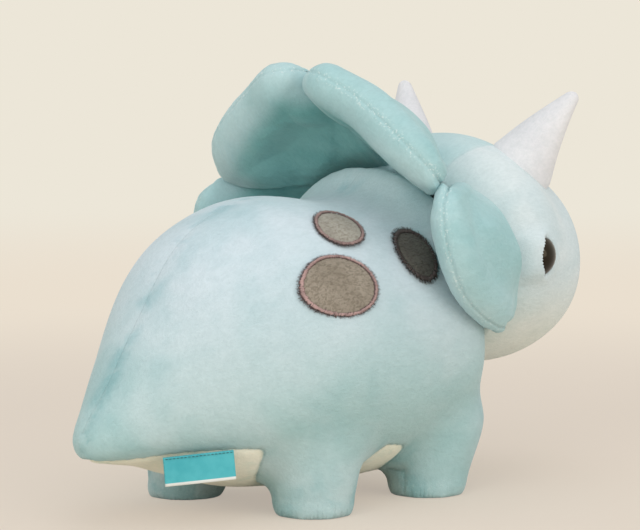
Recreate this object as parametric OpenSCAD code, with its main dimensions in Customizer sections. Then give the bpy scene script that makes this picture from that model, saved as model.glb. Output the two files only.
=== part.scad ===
// Stuffed three-horned dinosaur, sewn from short-pile plush.
// It stands on four stub legs, faces -Y, has its right side at -X and its tail at +Y.
// The origin lies on the ground, midway between nose and tail tip.

/* [Body] */
// Greatest width of the body
body_w = 156; // [130:1:185]
// Height of the back above the ground
back_h = 157; // [140:1:175]
// Height of the belly above the ground
belly_h = 8; // [5:0.5:14]
// Distance from the foot centre back to the tail tip
tail_reach = 164; // [150:1:185]
// Height of the tail tip above the ground
tail_h = 44; // [36:1:56]
// Blunt radius of the tail tip
tail_tip_r = 2; // [1.5:0.5:4]
// Thickness of the plush fabric
plush_t = 1.6; // [1:0.1:2.4]
// Half angle of the belly panel, seen from the middle of the body
belly_angle = 60; // [46:1:66]

/* [Neck] */
// Distance from the foot centre forward to the neck
neck_reach = 79; // [70:1:86]
// Height of the neck centre above the ground
neck_h = 115; // [105:1:125]
// Width of the neck opening
neck_w = 112; // [98:1:118]
// Height of the neck opening
neck_tall = 98; // [92:1:106]
// Backward lean of the neck opening
neck_lean = 14; // [6:1:20]
// Diameter of the ball of filling in the neck
neck_ball_d = 78; // [66:1:84]
// Width of the crease between body and head
neck_crease = 9; // [8:0.5:12]

/* [Legs] */
// Distance between the left and right feet as a share of the body's width
foot_share = 0.59; // [0.52:0.01:0.66]
// Distance between the front and rear feet
foot_base = 90; // [80:1:100]
// Diameter of a foot
foot_d = 41; // [36:1:48]
// Width that a rear leg gains where it meets the body
hip_flare = 22; // [14:1:28]
// Width that a front leg gains where it meets the body
shoulder_flare = 30; // [20:1:36]
// Thickness of a foot sole
sole_t = 1.8; // [1.2:0.1:2.6]

/* [Head] */
// Width of the head
head_w = 150; // [138:1:162]
// Depth of the skull, front to back
skull_depth = 112; // [104:1:122]
// Height of the skull
skull_tall = 128; // [118:1:136]
// Distance from the foot centre forward to the middle of the skull
skull_reach = 110; // [104:1:116]
// Height of the middle of the skull above the ground
skull_h = 126; // [120:1:132]
// Width of the muzzle
muzzle_w = 134; // [120:1:142]
// Distance from the foot centre forward to the nose
nose_reach = 190; // [184:1:198]
// Depth of the muzzle, front to back
muzzle_depth = 100; // [92:1:112]
// Height of the muzzle
muzzle_tall = 114; // [104:1:120]
// Height of the middle of the muzzle above the ground
muzzle_h = 118; // [112:1:124]

/* [Horns] */
// Base diameter of a brow horn
brow_horn_d = 38; // [30:1:42]
// Length of a brow horn
brow_horn_l = 50; // [40:1:60]
// Base diameter of the nose horn
nose_horn_d = 24; // [18:1:28]
// Length of the nose horn
nose_horn_l = 22; // [16:1:28]
// Radius of the blunt horn tips
horn_tip_r = 3; // [2:0.5:4]

/* [Frill] */
// Spread of the frill from the middle to its side
frill_half = 89; // [82:0.5:93]
// Reach of the frill behind the middle of its root
frill_reach = 86; // [78:0.5:90]
// Rise of the frill above the middle of its root
frill_rise = 53; // [47:0.5:57]
// Thickness of a stuffed frill lobe
lobe_t = 22; // [16:0.5:23]

/* [Face] */
// Diameter of an eye
eye_d = 20; // [15:0.5:22]
// Height of the eye dome
eye_dome = 5; // [4:0.5:7]
// Diameter of the eye stem
stem_d = 5; // [4:0.5:6]
// Length of the eye stem
stem_l = 12; // [9:0.5:15]
// Diameter of the lock washer on the stem
washer_d = 15; // [12:0.5:18]
// Thickness of the lock washer
washer_t = 1.5; // [1:0.1:2]

/* [Trim] */
// Length of the large spot
large_spot_l = 47; // [38:1:50]
// Length of the small spot
small_spot_l = 35; // [28:1:38]
// Length of the shoulder spot
shoulder_spot_l = 27; // [20:1:30]
// Width of the satin stitch round a spot
stitch_w = 2.2; // [1.5:0.1:3]
// Thickness of the spot fabric
spot_t = 0.8; // [0.5:0.1:1.2]
// Width of the sewn label
label_w = 35; // [28:1:40]
// Length of the sewn label below its seam
label_l = 16; // [12:1:20]
// Thickness of the label ribbon
label_t = 0.7; // [0.5:0.1:1]

/* [Hidden] */
// Gap between pieces that lie against each other
seat_gap = 0.3;
// Gap between two panels at a seam
seam_gap = 0.3;
// Running gap round the neck ball
ball_gap = 0.8;

aqua = "#a9d6d6";
cream = "#f3efe2";
white = "#f5f3f3";
taupe = "#8b8480";
mauve = "#6d4c52";
teal = "#3fa9b5";

// The foot centre stands off the origin so that nose and tail tip are equally far from it.
foot_y = (nose_reach - tail_reach) / 2;
foot_gauge = foot_share * body_w;
foot_r = foot_d / 2;
lining = plush_t + seat_gap;

// Body form: a loft of leaning rings from the tail tip to the neck.
body_rise = back_h - belly_h;
run = tail_reach + neck_reach;
// Each ring: [share of the run, centre height, half width, height above, depth below, lean]
rings = [
    [0.000, tail_h, tail_tip_r, tail_tip_r, tail_tip_r, 0],
    [0.018, tail_h + 0.5, 0.125 * body_w / 2, 0.07 * body_rise, 0.067 * body_rise, 0],
    [0.080, tail_h + 3, 0.265 * body_w / 2, 0.175 * body_rise, 0.10 * body_rise, 0],
    [0.160, belly_h + 0.31 * body_rise, 0.43 * body_w / 2, 0.315 * body_rise, 0.17 * body_rise, 0],
    [0.265, belly_h + 0.375 * body_rise, 0.665 * body_w / 2, 0.48 * body_rise, 0.29 * body_rise, 0],
    [0.415, belly_h + 0.415 * body_rise, 0.90 * body_w / 2, 0.575 * body_rise, 0.39 * body_rise, 0],
    [0.560, belly_h + 0.43 * body_rise, body_w / 2, 0.585 * body_rise, 0.425 * body_rise, 0],
    [0.708, belly_h + 0.435 * body_rise, body_w / 2, 0.565 * body_rise, 0.435 * body_rise, 1],
    [0.838, belly_h + 0.48 * body_rise, 0.97 * body_w / 2, 0.55 * body_rise, 0.46 * body_rise, 5],
    [0.935, belly_h + 0.605 * body_rise, 0.895 * body_w / 2, 0.51 * body_rise, 0.49 * body_rise, 10],
    [1.000, neck_h, neck_w / 2, neck_tall / 2, neck_tall / 2, neck_lean]];
last_ring = len(rings) - 1;
body_rings = 20;
side_columns = 10;
belly_columns = 4;
// The body stops short of the neck plane by half the crease.
half_crease = neck_crease / 2;

// Smooth curve through the values before, at, after and beyond a stretch.
function through(a, b, c, d, t) = b + t * ((c - a) / 2
    + t * ((a - 2.5 * b + 2 * c - d / 2) + t * (1.5 * (b - c) + (d - a) / 2)));
function ring_at(u) = let (i = min(floor(u), last_ring - 1), t = u - i,
    a = rings[max(i - 1, 0)], b = rings[i], c = rings[i + 1], d = rings[min(i + 2, last_ring)])
    [for (k = [0:5]) through(a[k], b[k], c[k], d[k], t)];
// Point of the body at ring u and angle a from the spine, a at 90 on the left, set in by inset.
function body_point(u, a, inset) = let (r = ring_at(u), end = 1 - min(u, 1),
    half = max(r[2] - inset, 0.3), up = max(r[3] - inset, 0.3), down = max(r[4] - inset, 0.3),
    rise = (cos(a) > 0 ? up : down) * cos(a), lean = r[5], back = half_crease * pow(u / last_ring, 8))
    [half * sin(a), foot_y + tail_reach - r[0] * run - inset * end + rise * sin(lean) + back,
        r[1] + rise * cos(lean)];

neck_centre = [0, foot_y - neck_reach, neck_h];
neck_out = [0, -cos(neck_lean), sin(neck_lean)];
neck_up = [0, sin(neck_lean), cos(neck_lean)];
sideways = [1, 0, 0];

// Half angle of the belly panel at ring u, drawn in towards the tail tip and the chest.
belly_tip = 12;
function belly_half(u) = let (t = u / last_ring)
    mix(belly_tip, belly_angle, pow(sin(180 * min(t, 0.88)), 0.8));
// Angles of the corners round ring u: down the left side, across the belly, up the right side.
function body_angles(u) = let (b = belly_half(u)) concat(
    [for (j = [0:side_columns - 1]) mix(0, 180 - b, j / side_columns)],
    [for (j = [0:belly_columns - 1]) mix(180 - b, 180 + b, j / belly_columns)],
    [for (j = [0:side_columns - 1]) mix(180 + b, 360, j / side_columns)]);
// Angle that half a seam gap takes at ring u.
function seam_angle(u) = seam_gap / 2 / ring_at(u)[2] * 180 / PI;

// Head form: skull and muzzle swell into each other, seen from a point between them.
skull_r = [head_w, skull_depth, skull_tall] / 2;
skull_c = [0, foot_y - skull_reach, skull_h];
muzzle_r = [muzzle_w, muzzle_depth, muzzle_tall] / 2;
muzzle_c = [0, foot_y - nose_reach + muzzle_depth / 2, muzzle_h];
head_c = (2 * skull_c + muzzle_c) / 3;
swell = 14;
head_rings = 12;
head_sides = 24;
function over(a, b) = [for (k = [0:2]) a[k] / b[k]];
// Distance from the head's middle to an egg along a direction.
function egg_reach(dir, c, r) = let (o = over(head_c - c, r), k = over(dir, r), m = o * k)
    (-m + sqrt(m * m - (k * k) * (o * o - 1))) / (k * k);
function head_reach(dir) = pow(pow(egg_reach(dir, skull_c, skull_r), swell)
    + pow(egg_reach(dir, muzzle_c, muzzle_r), swell), 1 / swell);
// Direction at angle from the forward axis, turned by a from the top towards the left.
function head_dir(angle, a) = cos(angle) * neck_out + sin(angle) * (sin(a) * sideways + cos(a) * neck_up);
function head_at(angle, a, inset) = let (d = head_dir(angle, a)) head_c + (head_reach(d) - inset) * d;
// Outward direction of the head's surface.
function head_normal(angle, a) = let (p = head_at(angle + 1, a, 0) - head_at(angle - 1, a, 0),
    q = head_at(angle, a + 1, 0) - head_at(angle, a - 1, 0), n = cross(q, p)) n / norm(n);
// Angle at which the head's surface meets the neck plane.
function neck_angle(a, inset, low = 90, high = 178, turns = 14) = turns == 0 ? low : let (mid = (low + high) / 2,
    out = (head_at(mid, a, inset) - neck_centre) * neck_out)
    out > half_crease ? neck_angle(a, inset, mid, high, turns - 1) : neck_angle(a, inset, low, mid, turns - 1);

// Neck ball and the cups that hold it.
cup_r = neck_ball_d / 2 + ball_gap;
cup_rim = asin(half_crease / cup_r);
cup_rings = 7;
function cup_loop(t, angles, out) = let (g = (90 - cup_rim) * (1 - t), r = cup_r * sin(g), z = cup_r * cos(g))
    [for (a = angles) neck_centre + r * (sin(a) * sideways + cos(a) * neck_up) + out * z * neck_out];
function cup_loops(angles, out) = [for (i = [0:cup_rings - 1]) cup_loop(i / cup_rings, angles, out)];

// Frill lobes: span of the root round the head, rim and depth of the dish. Rim points are shares of the
// frill's spread, reach and rise, measured from the middle of its root.
root_angle = 121;
upper_lobe = [[1.4, 33], [[0.019, 0.752, 0.93], [0.09, 0.89, 0.97], [0.23, 0.94, 0.925], [0.41, 0.865, 0.745],
    [0.605, 0.825, 0.485], [0.765, 0.775, 0.225], [0.855, 0.665, 0.01], [0.85, 0.57, -0.09]], 6];
lower_lobe = [[39, 117], [[0.895, 0.60, -0.15], [0.965, 0.72, -0.33], [1, 0.735, -0.63], [1.01, 0.665, -0.95],
    [0.99, 0.515, -1.24], [0.965, 0.32, -1.44], [0.92, 0.115, -1.56], [0.82, -0.09, -1.60]], 10];
lobe_gap = 0.8;
lobe_edge = 3;
lobe_rows = 9;
lobe_columns = 11;
function mix(a, b, t) = a + (b - a) * t;
function span(pair, w) = mix(pair[0], pair[1], w);
function lobe_root(lobe, w) = head_at(root_angle, span(lobe[0], w), -lobe_gap);
function rim_at(rim, w) = let (n = len(rim) - 1, i = min(floor(w * n), n - 1))
    through(rim[max(i - 1, 0)], rim[i], rim[i + 1], rim[min(i + 2, n)], w * n - i);
function lobe_rim(lobe, w) = let (r = rim_at(lobe[1], w))
    head_at(root_angle, 0, -lobe_gap) + [r[0] * frill_half, r[1] * frill_reach, r[2] * frill_rise];
// Middle surface of a lobe, e from -1 to 1 across it and q from its root to its rim.
function lobe_flat(lobe, q, e) = let (w = 0.5 + e / 2) mix(lobe_root(lobe, w), lobe_rim(lobe, w), q);
function lobe_normal(lobe, q, e) = let (d = 0.02, q0 = min(max(q, d), 0.9), e0 = min(max(e, d - 1), 1 - d),
    n = cross(lobe_flat(lobe, q0 + d, e0) - lobe_flat(lobe, q0 - d, e0),
        lobe_flat(lobe, q0, e0 - d) - lobe_flat(lobe, q0, e0 + d))) n / norm(n);
// Front or back skin of a lobe: dished, plump in the middle and drawn in at its seams.
function lobe_point(lobe, q, e, side) = let (n = lobe_normal(lobe, q, e),
    plump = sqrt(max(1 - pow(e, 6), 0)) * sqrt(max(1 - pow(q, 8), 0)) * min(1, 0.15 + 2.5 * q),
    dish = lobe[2] * (1 - pow(e, 4)) * 4 * q * (1 - q))
    lobe_flat(lobe, q, e) + (dish + side * mix(lobe_edge, lobe_t, plump) / 2 * min(1, 0.5 + 2 * q)) * n;

// Spots: [ring, angle from the spine, length, width share, turn]
large_spot = [5.5, 58.2, large_spot_l, 0.7, 0];
small_spot = [6.12, 34.2, small_spot_l, 0.72, -20];
shoulder_spot = [7.45, 49.3, shoulder_spot_l, 1.2, 0];
spot_sides = 18;
function spot_point(s, r, a, lift) = let (u = s[0], b = s[1], along = norm(body_point(u + 0.1, b, 0)
    - body_point(u - 0.1, b, 0)) / 0.2, around = norm(body_point(u, b + 2, 0) - body_point(u, b - 2, 0)) / 4,
    x = r * cos(a), y = r * sin(a) * s[3])
    body_point(u + (x * cos(s[4]) - y * sin(s[4])) / along, b + (x * sin(s[4]) + y * cos(s[4])) / around, -lift);
function spot_loop(s, r, lift) = [for (a = turns(spot_sides)) spot_point(s, r, a, lift)];

// Label: hangs from the right belly seam beside the tail.
label_ring = 3.38;

function turns(n) = [for (j = [0:n - 1]) 360 * j / n];

// Faces of a closed surface made of an outer and an inner grid of nu by nv cells.
function at(k, i, j, nu, nv) = (k * (nu + 1) + i) * (nv + 1) + j;
function quad(a, b, c, d) = [[a, b, c], [a, c, d]];
function sheet_faces(nu, nv) = concat(
    [for (i = [0:nu - 1], j = [0:nv - 1], f = quad(at(0, i, j, nu, nv), at(0, i + 1, j, nu, nv),
        at(0, i + 1, j + 1, nu, nv), at(0, i, j + 1, nu, nv))) f],
    [for (i = [0:nu - 1], j = [0:nv - 1], f = quad(at(1, i, j, nu, nv), at(1, i, j + 1, nu, nv),
        at(1, i + 1, j + 1, nu, nv), at(1, i + 1, j, nu, nv))) f],
    [for (i = [0:nu - 1], k = [0, 1], f = quad(at(k, i, k * nv, nu, nv), at(1 - k, i, k * nv, nu, nv),
        at(1 - k, i + 1, k * nv, nu, nv), at(k, i + 1, k * nv, nu, nv))) f],
    [for (j = [0:nv - 1], k = [0, 1], f = quad(at(1 - k, k * nu, j, nu, nv), at(k, k * nu, j, nu, nv),
        at(k, k * nu, j + 1, nu, nv), at(1 - k, k * nu, j + 1, nu, nv))) f]);
// A fabric panel or pad between two surfaces over one grid.
module sheet_solid(outer, inner, nu, nv) {
    polyhedron([for (skin = [outer, inner], i = [0:nu], j = [0:nv]) skin(i / nu, j / nv)], sheet_faces(nu, nv));
}
function loop_faces(first, second, nv) = [for (j = [0:nv - 1], f = quad(first + j, first + (j + 1) % nv,
    second + (j + 1) % nv, second + j)) f];
// A solid of closed loops between two end points.
module loop_solid(first, loops, last) {
    nv = len(loops[0]);
    points = concat([first], [for (l = loops, p = l) p], [last]);
    end = len(points) - 1;
    polyhedron(points, concat(
        [for (j = [0:nv - 1]) [0, 1 + (j + 1) % nv, 1 + j]],
        [for (i = [0:len(loops) - 2], f = loop_faces(1 + i * nv, 1 + (i + 1) * nv, nv)) f],
        [for (j = [0:nv - 1]) [end, end - nv + j, end - nv + (j + 1) % nv]]));
}
// A closed band of loops, each joined to the next and the last to the first.
module band_solid(loops) {
    nv = len(loops[0]);
    n = len(loops);
    polyhedron([for (l = loops, p = l) p], [for (i = [0:n - 1], f = loop_faces(i * nv, (i + 1) % n * nv, nv)) f]);
}
// What is drawn for the left side, or its mirror image for the right side.
module on_side(side) { mirror([side == "left" ? 0 : 1, 0, 0]) children(); }

function body_loops(inset) = [for (i = [0:body_rings]) let (u = i / body_rings * last_ring)
    [for (a = body_angles(u)) body_point(u, a, inset)]];
head_angles = -turns(head_sides);
function head_loops(inset) = [for (i = [1:head_rings]) [for (a = head_angles)
    head_at(neck_angle(a, i < head_rings ? 0 : inset) * i / head_rings, a, inset)]];
// Whole outside of body and head, grown by a clearance, used to cut what lies against them.
module body_form(grow) {
    loop_solid([0, foot_y + tail_reach + grow, tail_h], body_loops(-grow), neck_centre - half_crease * neck_out);
}
module head_form(grow) {
    loop_solid(head_at(0, 0, -grow), head_loops(-grow), neck_centre + half_crease * neck_out);
}

// A panel of the body's skin between two seams, each given as an angle at ring u.
module skin_panel(first, last, columns) {
    skin = function (s, v, inset) let (u = s * last_ring, gap = seam_angle(u))
        body_point(u, mix(first(u) + gap, last(u) - gap, v), inset);
    sheet_solid(function (s, v) skin(s, v, plush_t), function (s, v) skin(s, v, 0), body_rings, columns);
}
module side_left() {
    color(aqua) skin_panel(function (u) 0, function (u) 180 - belly_half(u), side_columns);
}
module side_right() {
    color(aqua) skin_panel(function (u) 180 + belly_half(u), function (u) 360, side_columns);
}
module belly_panel() {
    color(cream) skin_panel(function (u) 180 - belly_half(u), function (u) 180 + belly_half(u), belly_columns);
}
module body_fill() {
    color(white) loop_solid([0, foot_y + tail_reach - 2 * lining, tail_h],
        concat(body_loops(lining), cup_loops(body_angles(last_ring), -1)), neck_centre - cup_r * neck_out);
}
module neck_fill() {
    color(white) translate(neck_centre) sphere(d = neck_ball_d, $fn = 48);
}

// A stub leg leans in as it rises and is cut to lie against the body.
leg_rise = 58;
leg_lean = 9;
shoulder_lean = 13;
leg_crown = 0.55;
leg_rings = 6;
leg_sides = 16;
sole_edge = 2.5;
// Radius of a leg at share t of its rise: it flares and then rounds over inside the body.
function leg_r(t, flare) = (foot_r + flare * t * t) * sqrt(1 - pow(max(t - leg_crown, 0) / (1.05 - leg_crown), 2));
module leg(side, end) {
    foot = [side * foot_gauge / 2, foot_y - end * foot_base / 2, sole_t];
    flare = (end > 0 ? shoulder_flare : hip_flare) / 2;
    top = [-side * leg_lean, end > 0 ? -shoulder_lean : 0, leg_rise];
    loop = function (t, r) [for (a = turns(leg_sides)) foot + t * top + [r * cos(a), -r * sin(a), 0]];
    color(aqua) difference() {
        loop_solid(foot, concat([loop(0, foot_r - sole_edge)],
            [for (i = [0:leg_rings]) let (t = (0.4 + i) / (0.4 + leg_rings)) loop(t, leg_r(t, flare))]), foot + top);
        body_form(seat_gap);
    }
}
module sole(side, end) {
    color(cream) translate([side * foot_gauge / 2, foot_y - end * foot_base / 2, 0])
        cylinder(r = foot_r - sole_edge, h = sole_t, $fn = 48);
}
module leg_front_left() { leg(1, 1); }
module leg_front_right() { leg(-1, 1); }
module leg_rear_left() { leg(1, -1); }
module leg_rear_right() { leg(-1, -1); }
module sole_front_left() { sole(1, 1); }
module sole_front_right() { sole(-1, 1); }
module sole_rear_left() { sole(1, -1); }
module sole_rear_right() { sole(-1, -1); }

// Eyes: a moulded dome on a stem through the cover, held by a washer inside.
eye_angle = 98.5;
eye_turn = 87;
eye_fit = 0.3;
eye_at = head_at(eye_angle, eye_turn, 0);
eye_out = head_normal(eye_angle, eye_turn);
module along_eye() {
    translate(eye_at) rotate([0, acos(eye_out[2]), atan2(eye_out[1], eye_out[0])]) children();
}
// The cover's flat facets lie up to this far inside its true curve.
facet_dip = 1;
washer_depth = plush_t + 2 * seat_gap + washer_d * washer_d / 4 / head_w + facet_dip;
module eye() {
    dome_r = (eye_d * eye_d / 4 + eye_dome * eye_dome) / 2 / eye_dome;
    color("black") along_eye() {
        translate([0, 0, seat_gap]) intersection() {
            translate([0, 0, eye_dome - dome_r]) sphere(r = dome_r, $fn = 64);
            cylinder(d = eye_d, h = eye_dome, $fn = 64);
        }
        translate([0, 0, seat_gap - stem_l]) cylinder(d = stem_d, h = stem_l + 1, $fn = 32);
    }
}
module washer() {
    color(white) along_eye() translate([0, 0, -washer_depth - washer_t]) difference() {
        cylinder(d = washer_d, h = washer_t, $fn = 48);
        translate([0, 0, -1]) cylinder(d = stem_d + eye_fit, h = washer_t + 2, $fn = 32);
    }
}
module eye_left() { on_side("left") eye(); }
module eye_right() { on_side("right") eye(); }
module washer_left() { on_side("left") washer(); }
module washer_right() { on_side("right") washer(); }

module both_sides() {
    for (side = ["left", "right"]) on_side(side) children();
}
module head_cover() {
    color(aqua) difference() {
        head_form(0);
        loop_solid(head_at(0, 0, plush_t), head_loops(plush_t), neck_centre);
        both_sides() along_eye() translate([0, 0, -washer_depth])
            cylinder(d = stem_d + 2 * eye_fit, h = 2 * washer_depth, $fn = 32);
    }
}
module head_fill() {
    color(white) difference() {
        loop_solid(head_at(0, 0, lining), concat(head_loops(lining),
            cup_loops(head_angles, 1)), neck_centre + cup_r * neck_out);
        both_sides() along_eye() translate([0, 0, -stem_l - 1])
            cylinder(d = washer_d + 1, h = stem_l + 1, $fn = 48);
    }
}

// Horns: blunt cones that bow a little and are cut to sit on the head.
horn_rings = 6;
horn_sides = 12;
horn_sink = 0.45;
function horn_r(t, r) = mix(horn_tip_r, r, pow(1 - t, 1.05));
module horn(angle, turn, lean, length, d, bow) {
    foot = head_at(angle, turn, 0);
    way = lean / norm(lean);
    across = cross(way, sideways) / norm(cross(way, sideways));
    beside = cross(across, way);
    loop = function (t) let (r = t > 0 ? horn_r(t, d / 2) : d / 2) [for (a = turns(horn_sides)) foot
        + length * t * way + bow * sin(180 * max(t, 0)) * across + r * (cos(a) * across + sin(a) * beside)];
    color(white) difference() {
        loop_solid(foot - horn_sink * length * way, concat([loop(-horn_sink)],
            [for (i = [0:horn_rings]) loop(i / horn_rings)]), foot + (length + horn_tip_r * 0.8) * way);
        head_form(seat_gap);
    }
}
// The left brow horn stands a little more upright than the right one.
module brow_horn_left() { horn(69, 40, [21, -22, 42], brow_horn_l, brow_horn_d, -2); }
module brow_horn_right() { horn(66, -42, [-20.8, -20, 38], brow_horn_l, brow_horn_d, -2); }
module nose_horn() { horn(20, 0, [0, -14, 18], nose_horn_l, nose_horn_d, -1); }

module frill_lobe(lobe) {
    color(aqua) sheet_solid(function (s, v) lobe_point(lobe, 1 - pow(1 - s, 1.5), 2 * v - 1, 1),
        function (s, v) lobe_point(lobe, 1 - pow(1 - s, 1.5), 2 * v - 1, -1), lobe_rows, lobe_columns);
}
module frill_upper_left() { on_side("left") frill_lobe(upper_lobe); }
module frill_upper_right() { on_side("right") frill_lobe(upper_lobe); }
module frill_lower_left() { on_side("left") frill_lobe(lower_lobe); }
module frill_lower_right() { on_side("right") frill_lobe(lower_lobe); }

module spot(s) {
    r = s[2] / 2 - stitch_w - seat_gap;
    color(taupe) loop_solid(spot_point(s, 0, 0, seat_gap + spot_t), [spot_loop(s, r / 2, seat_gap + spot_t),
        spot_loop(s, r, seat_gap + spot_t), spot_loop(s, r, seat_gap), spot_loop(s, r / 2, seat_gap)],
        spot_point(s, 0, 0, seat_gap));
}
module stitch(s) {
    r = s[2] / 2;
    lift = seat_gap + 1.5 * spot_t;
    color(mauve) band_solid([spot_loop(s, r - stitch_w, seat_gap), spot_loop(s, r - stitch_w, lift),
        spot_loop(s, r, lift), spot_loop(s, r, seat_gap)]);
}
module spot_large_left() { on_side("left") spot(large_spot); }
module spot_large_right() { on_side("right") spot(large_spot); }
module spot_small_left() { on_side("left") spot(small_spot); }
module spot_small_right() { on_side("right") spot(small_spot); }
module spot_shoulder_left() { on_side("left") spot(shoulder_spot); }
module spot_shoulder_right() { on_side("right") spot(shoulder_spot); }
module stitch_large_left() { on_side("left") stitch(large_spot); }
module stitch_large_right() { on_side("right") stitch(large_spot); }
module stitch_small_left() { on_side("left") stitch(small_spot); }
module stitch_small_right() { on_side("right") stitch(small_spot); }
module stitch_shoulder_left() { on_side("left") stitch(shoulder_spot); }
module stitch_shoulder_right() { on_side("right") stitch(shoulder_spot); }

// The label is one ribbon folded into a loop below its seam.
label_seat = seat_gap + 1.5 * label_t;
label_seam = body_point(label_ring, 180 + belly_half(label_ring), -label_seat);
function belly_seam(u) = body_point(u, 180 + belly_half(u), 0);
label_way = belly_seam(label_ring + 0.2) - belly_seam(label_ring - 0.2);
module label() {
    flat_way = norm([label_way[0], label_way[1]]);
    color(teal) translate(label_seam) rotate([0, -atan2(label_way[2], flat_way), atan2(label_way[1], label_way[0])])
        rotate([90, 0, 90])
        translate([0, 0, -label_w / 2]) linear_extrude(label_w) difference() {
            union() {
                translate([-1.5 * label_t, -label_l]) square([3 * label_t, label_l]);
                translate([0, -label_l]) circle(d = 3 * label_t, $fn = 32);
            }
            translate([-label_t / 2, -label_l]) square([label_t, label_l + 1]);
        }
}

side_left();
side_right();
belly_panel();
body_fill();
neck_fill();
leg_front_left();
leg_front_right();
leg_rear_left();
leg_rear_right();
sole_front_left();
sole_front_right();
sole_rear_left();
sole_rear_right();
head_cover();
head_fill();
brow_horn_left();
brow_horn_right();
nose_horn();
frill_upper_left();
frill_upper_right();
frill_lower_left();
frill_lower_right();
eye_left();
eye_right();
washer_left();
washer_right();
spot_large_left();
spot_large_right();
spot_small_left();
spot_small_right();
spot_shoulder_left();
spot_shoulder_right();
stitch_large_left();
stitch_large_right();
stitch_small_left();
stitch_small_right();
stitch_shoulder_left();
stitch_shoulder_right();
label();
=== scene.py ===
import math

import bpy
import numpy as np
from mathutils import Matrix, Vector
from mathutils.kdtree import KDTree


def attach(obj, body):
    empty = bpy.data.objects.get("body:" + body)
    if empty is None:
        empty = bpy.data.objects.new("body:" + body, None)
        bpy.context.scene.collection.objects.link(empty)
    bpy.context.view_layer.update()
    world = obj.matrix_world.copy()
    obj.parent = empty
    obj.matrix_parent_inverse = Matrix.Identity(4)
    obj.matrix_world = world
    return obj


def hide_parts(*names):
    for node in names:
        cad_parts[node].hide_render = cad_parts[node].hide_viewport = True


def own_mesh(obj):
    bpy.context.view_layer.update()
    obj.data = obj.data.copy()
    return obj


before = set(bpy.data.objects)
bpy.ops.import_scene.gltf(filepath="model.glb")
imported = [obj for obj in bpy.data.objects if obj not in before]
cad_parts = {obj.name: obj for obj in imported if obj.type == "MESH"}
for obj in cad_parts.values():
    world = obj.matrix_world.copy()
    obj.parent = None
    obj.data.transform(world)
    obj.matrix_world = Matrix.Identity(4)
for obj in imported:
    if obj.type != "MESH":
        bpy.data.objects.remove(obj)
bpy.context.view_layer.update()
scene = bpy.context.scene
scene.view_settings.view_transform = "Standard"

MM = 0.001
chance = np.random.default_rng(7)


# Sizes of the toy in millimetres and degrees: those of its solids, with a few of its cover's own.

BODY_W = 156.0
BACK_H = 157.0
BELLY_H = 8.0
TAIL_REACH = 164.0
TAIL_H = 44.0
TAIL_TIP_R = 2.0
BELLY_ANGLE = 60.0
BELLY_TIP = 12.0
BELLY_DROP = 5.0
NECK_REACH = 79.0
NECK_H = 115.0
NECK_W = 112.0
NECK_TALL = 98.0
NECK_LEAN = 14.0
HALF_CREASE = 4.5
FOOT_GAUGE = 0.59 * BODY_W
FOOT_BASE = 90.0
FOOT_R = 20.5
HIP_FLARE = 11.0
SHOULDER_FLARE = 15.0
LEG_RISE = 58.0
LEG_LEAN = 9.0
SHOULDER_LEAN = 13.0
HIP_LEAN = 7.0
LEG_CROWN = 0.55
LEG_HEM = 4.0
NOSE_REACH = 190.0
FOOT_Y = (NOSE_REACH - TAIL_REACH) / 2
RUN = TAIL_REACH + NECK_REACH
RISE = BACK_H - BELLY_H
# Fullness that the covered legs have over their solids.
SHOULDER_FULLER = 3.5
HIP_FULLER = 5.0

# Each ring: share of the run, centre height, half width, height above, depth below, lean.
# Between the ends the widths are shares of the body's half, the heights of its rise.
RINGS = np.array([
    [0.000, TAIL_H, TAIL_TIP_R, TAIL_TIP_R, TAIL_TIP_R, 0],
    [0.018, TAIL_H + 0.5, 0.125, 0.07, 0.067, 0],
    [0.080, TAIL_H + 3, 0.265, 0.175, 0.10, 0],
    [0.160, BELLY_H + 0.31 * RISE, 0.43, 0.315, 0.17, 0],
    [0.265, BELLY_H + 0.375 * RISE, 0.665, 0.48, 0.29, 0],
    [0.415, BELLY_H + 0.415 * RISE, 0.90, 0.575, 0.39, 0],
    [0.560, BELLY_H + 0.43 * RISE, 1.0, 0.585, 0.425, 0],
    [0.708, BELLY_H + 0.435 * RISE, 1.0, 0.565, 0.435, 1],
    [0.838, BELLY_H + 0.48 * RISE, 0.97, 0.55, 0.46, 5],
    [0.935, BELLY_H + 0.605 * RISE, 0.895, 0.51, 0.49, 10],
    [1.000, NECK_H, NECK_W / 2, NECK_TALL / 2, NECK_TALL / 2, NECK_LEAN],
])
RINGS[1:-1, 2] *= BODY_W / 2
RINGS[1:-1, 3:5] *= RISE
LAST = len(RINGS) - 1

lean = math.radians(NECK_LEAN)
SIDEWAYS = np.array([1.0, 0.0, 0.0])
UPWARDS = np.array([0.0, 0.0, 1.0])
NECK = np.array([0.0, FOOT_Y - NECK_REACH, NECK_H])
NECK_OUT = np.array([0.0, -math.cos(lean), math.sin(lean)])
NECK_UP = np.array([0.0, math.sin(lean), math.cos(lean)])

SKULL_R = np.array([150.0, 112.0, 128.0]) / 2
SKULL_C = np.array([0.0, FOOT_Y - 110.0, 126.0])
MUZZLE_R = np.array([134.0, 100.0, 114.0]) / 2
MUZZLE_C = np.array([0.0, FOOT_Y - NOSE_REACH + 50.0, 118.0])
HEAD_C = (2 * SKULL_C + MUZZLE_C) / 3
SWELL = 14

ROOT_ANGLE = 121.0
LOBE_GAP = 0.8

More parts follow.
